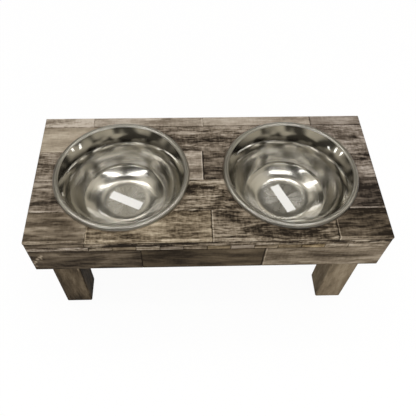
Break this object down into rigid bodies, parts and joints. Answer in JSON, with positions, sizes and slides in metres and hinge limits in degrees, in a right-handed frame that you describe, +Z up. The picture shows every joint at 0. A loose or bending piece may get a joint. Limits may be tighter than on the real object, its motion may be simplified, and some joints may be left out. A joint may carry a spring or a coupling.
{
  "type": "elevated double pet feeder",
  "caption": "Low plank-topped wooden stand on square legs that holds lift-out round metal bowls side by side for a small pet to eat and drink from.",
  "frame": {"origin": "on the floor, under the middle of the stand", "axes": "+X along the stand to its right end, +Y to its back, +Z up"},
  "size_m": [0.4, 0.184, 0.1795],
  "materials": {
    "pale_plank": "weathered, worn whitewash over grey-brown grain, matt",
    "taupe_plank": "weathered taupe grain, matt",
    "brown_plank": "weathered brown grain with pale streaks, matt",
    "dark_plank": "dark smoked brown grain with pale streaks, matt",
    "edge_strip": "long grain, dark brown, matt",
    "edge_block": "short pale blocks, matt",
    "brown_skirt": "dark brown grain, scuffed, matt",
    "dark_skirt": "near-black brown grain, matt",
    "light_skirt": "pinkish brown grain with dark smudges, matt",
    "leg": "brown stained softwood, matt",
    "bare_board": "bare plywood and battens, sanded",
    "stainless": "polished wall and rim, spun satin floor",
    "paper": "plain white paper sticker, matt",
    "screw_steel": "yellow zinc plated"
  },
  "bodies": {
    "stand": {"back_batten": "bare_board", "back_edge_strip": "edge_strip", "back_left_leg": "leg", "back_right_leg": "leg", "back_row_plank_1": "pale_plank", "back_row_plank_2": "pale_plank", "back_row_plank_3": "pale_plank", "back_row_plank_4": "taupe_plank", "back_skirt_board_1": "light_skirt", "back_skirt_board_2": "brown_skirt", "back_skirt_board_3": "dark_skirt", "deck_panel": "bare_board", "fourth_row_plank_1": "brown_plank", "fourth_row_plank_2": "brown_plank", "fourth_row_plank_3": "dark_plank", "front_batten": "bare_board", "front_edge_block_01": "edge_block", "front_edge_block_02": "edge_block", "front_edge_block_03": "edge_block", "front_edge_block_04": "edge_block", "front_edge_block_05": "edge_block", "front_edge_block_06": "edge_block", "front_edge_block_07": "edge_block", "front_edge_block_08": "edge_block", "front_edge_block_09": "edge_block", "front_edge_block_10": "edge_block", "front_edge_block_11": "edge_block", "front_edge_left_end": "edge_block", "front_edge_right_end": "edge_block", "front_edge_strip_1": "edge_strip", "front_edge_strip_2": "edge_strip", "front_left_leg": "leg", "front_right_leg": "leg", "front_row_plank_1": "brown_plank", "front_row_plank_2": "brown_plank", "front_row_plank_3": "dark_plank", "front_row_plank_4": "dark_plank", "front_skirt_board_1": "brown_skirt", "front_skirt_board_2": "dark_skirt", "front_skirt_board_3": "light_skirt", "left_edge_strip": "edge_strip", "left_skirt_board": "brown_skirt", "panel_screws": "screw_steel", "right_edge_strip": "edge_strip", "right_skirt_board": "light_skirt", "second_row_plank_1": "pale_plank", "second_row_plank_2": "dark_plank", "second_row_plank_3": "taupe_plank", "skirt_screws": "screw_steel", "third_row_plank_1": "brown_plank", "third_row_plank_2": "taupe_plank", "third_row_plank_3": "dark_plank", "third_row_plank_4": "brown_plank"},
    "left_bowl": {"left_bowl": "stainless", "left_bowl_label": "paper"},
    "right_bowl": {"right_bowl": "stainless", "right_bowl_label": "paper"}
  },
  "joints": [
    {"name": "left_bowl_lift", "type": "slide", "parent": "stand", "child": "left_bowl", "axis": [0, 0, 1], "range_m": [0, 0.06]},
    {"name": "right_bowl_lift", "type": "slide", "parent": "stand", "child": "right_bowl", "axis": [0, 0, 1], "range_m": [0, 0.06]}
  ]
}
